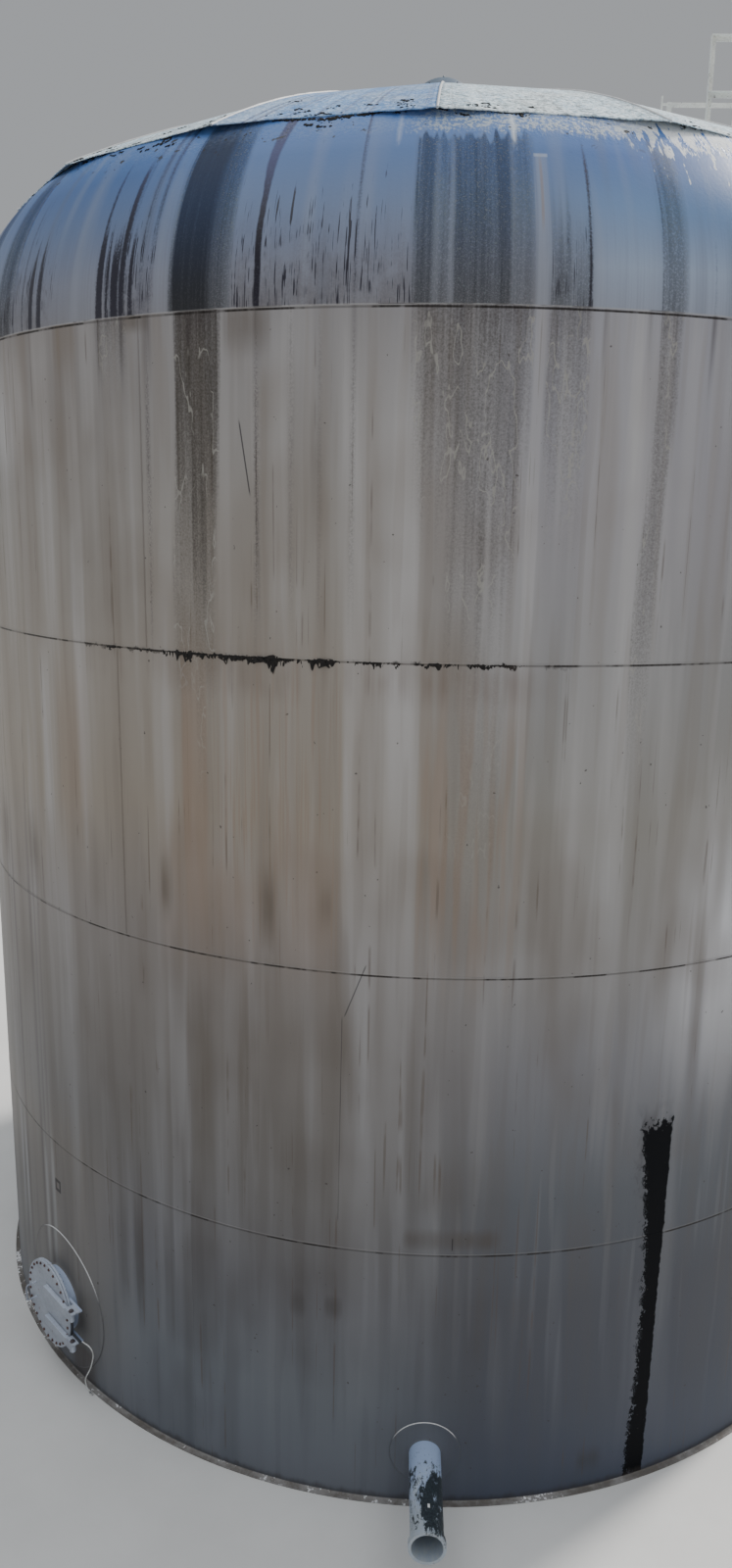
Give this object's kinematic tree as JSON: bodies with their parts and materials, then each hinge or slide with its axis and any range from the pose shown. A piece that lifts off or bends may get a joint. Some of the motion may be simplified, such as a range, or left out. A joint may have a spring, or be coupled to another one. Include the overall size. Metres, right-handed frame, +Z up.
{
  "type": "vertical storage tank",
  "caption": "Tall round welded-steel tank with a rounded shoulder and a faceted roof, a hinged round manway low on its side, an outlet nozzle, a roof vent, and a side ladder with rails.",
  "frame": {"origin": "on the tank's axis, at the underside of the bottom plate", "axes": "+Z up; -Y is the front, where the outlet nozzle is (1.7 degrees towards +X); the manway is at the front left, and the ladder on the +X side"},
  "size_m": [10.0694, 10.7559, 12.96],
  "materials": {
    "shell": "weathered matt paint with runs of mildew",
    "knuckle": "weathered matt paint with runs of mildew",
    "crown": "peeling matt paint with lichen",
    "bottom": "dirty and lightly rusted",
    "fitting": "satin paint, rusted at the edges",
    "pipe": "flaking paint over dark primer",
    "steel": "dull galvanised",
    "cord": "matt"
  },
  "bodies": {
    "tank": {"bottom_plate": "bottom", "cord": "cord", "cord_fitting": "steel", "crown_centre_plate": "crown", "crown_plates_1": "crown", "crown_plates_2": "crown", "crown_plates_3": "crown", "crown_plates_4": "crown", "crown_plates_5": "crown", "crown_plates_6": "crown", "crown_plates_7": "crown", "crown_plates_8": "crown", "guard_rail_far": "fitting", "guard_rail_near": "fitting", "hatch_lid": "fitting", "hatch_neck": "fitting", "hinge_bolt_lower": "steel", "hinge_bolt_upper": "steel", "hinge_lug_lower": "fitting", "hinge_lug_upper": "fitting", "knuckle_plate_1": "knuckle", "knuckle_plate_2": "knuckle", "knuckle_plate_3": "knuckle", "knuckle_plate_4": "knuckle", "ladder": "fitting", "ladder_top": "fitting", "manway_neck": "fitting", "manway_pad": "shell", "outlet_pad": "shell", "outlet_pipe": "pipe", "shell_course_1_back": "shell", "shell_course_1_front": "shell", "shell_course_1_ladder_side": "shell", "shell_course_1_manway_side": "shell", "shell_course_2_left": "shell", "shell_course_2_right": "shell", "shell_course_3_left": "shell", "shell_course_3_right": "shell", "shell_course_4_left": "shell", "shell_course_4_right": "shell", "vent_cap": "fitting", "vent_neck": "fitting"},
    "cover": {"manway_cover": "fitting", "cover_arm_upper": "fitting", "cover_arm_lower": "fitting", "cover_handle": "fitting"}
  },
  "joints": [
    {"name": "manway_cover_hinge", "type": "hinge", "parent": "tank", "child": "cover", "pos_m": [-3.22426, -3.94312, 0.75], "axis": [0, 0, 1], "range_deg": [0, 110]}
  ]
}
